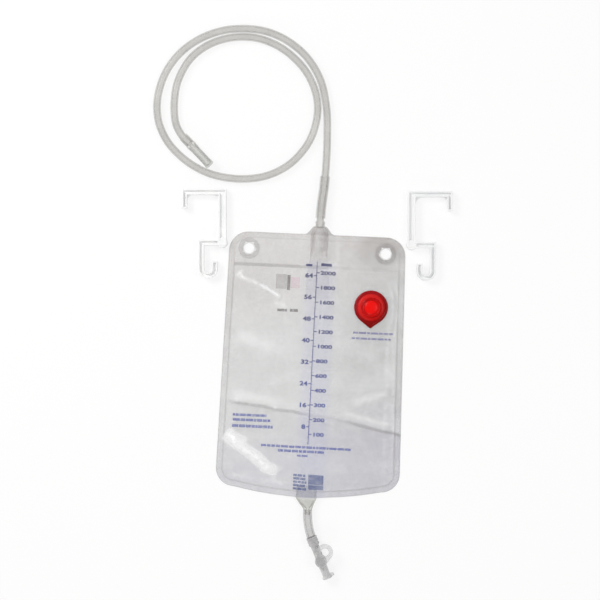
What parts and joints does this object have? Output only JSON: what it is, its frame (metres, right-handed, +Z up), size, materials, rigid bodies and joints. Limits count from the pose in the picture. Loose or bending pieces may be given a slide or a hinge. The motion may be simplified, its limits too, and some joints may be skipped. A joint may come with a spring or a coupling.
{
  "type": "urine drainage bag",
  "caption": "Flat welded film bag with a graduated front, looped inlet tube, red vent cap, lever drain tap and loose bed hangers.",
  "frame": {"origin": "on the table under the middle of the bag's back film, halfway between its top edge and the lowest point of its bottom edge", "axes": "+Z up, away from the table and out of the printed side; +Y along the bag from the drain tap to the inlet; +X to the right as the print is read"},
  "size_m": [0.3394, 0.6168, 0.0171],
  "materials": {
    "clear_film": "soft clear PVC film, glossy, slightly crumpled",
    "clear_moulding": "soft clear PVC moulding",
    "clear_tube": "clear PVC tubing with a faint warm tint",
    "filter_felt": "matt white filter membrane",
    "red_plastic": "glossy moulded polyethylene",
    "tap_plastic": "natural polypropylene, satin",
    "white_plastic": "white moulded polypropylene, satin"
  },
  "bodies": {
    "bag": {"back_sheet": "clear_film", "front_sheet": "clear_film", "non_return_sleeve": "clear_film", "eyelet_left": "clear_moulding", "eyelet_right": "clear_moulding", "inlet_port": "clear_moulding", "outlet_port": "clear_moulding", "vent_ring": "clear_moulding", "vent_filter": "filter_felt", "catheter_connector": "clear_moulding", "drainage_tube": "clear_tube", "kink_guard": "clear_tube", "outlet_tube": "clear_tube", "tap_body": "tap_plastic", "hanger_left": "white_plastic", "hanger_right": "white_plastic"},
    "tap_lever": {"tap_plug": "tap_plastic"},
    "vent_cover": {"vent_cap": "red_plastic"},
    "end_cap": {"connector_cap": "tap_plastic"}
  },
  "joints": [
    {"name": "tap_turn", "type": "hinge", "parent": "bag", "child": "tap_lever", "pos_m": [0.01893, -0.21743, 0.0123], "axis": [0, 0, 1], "range_deg": [-90, 0]},
    {"name": "vent_cap_lift", "type": "slide", "parent": "bag", "child": "vent_cover", "axis": [0, 0, 1], "range_m": [0, 0.012]},
    {"name": "connector_cap_pull", "type": "slide", "parent": "bag", "child": "end_cap", "axis": [0.7063, -0.6941, 0.1392], "range_m": [0, 0.03]}
  ]
}
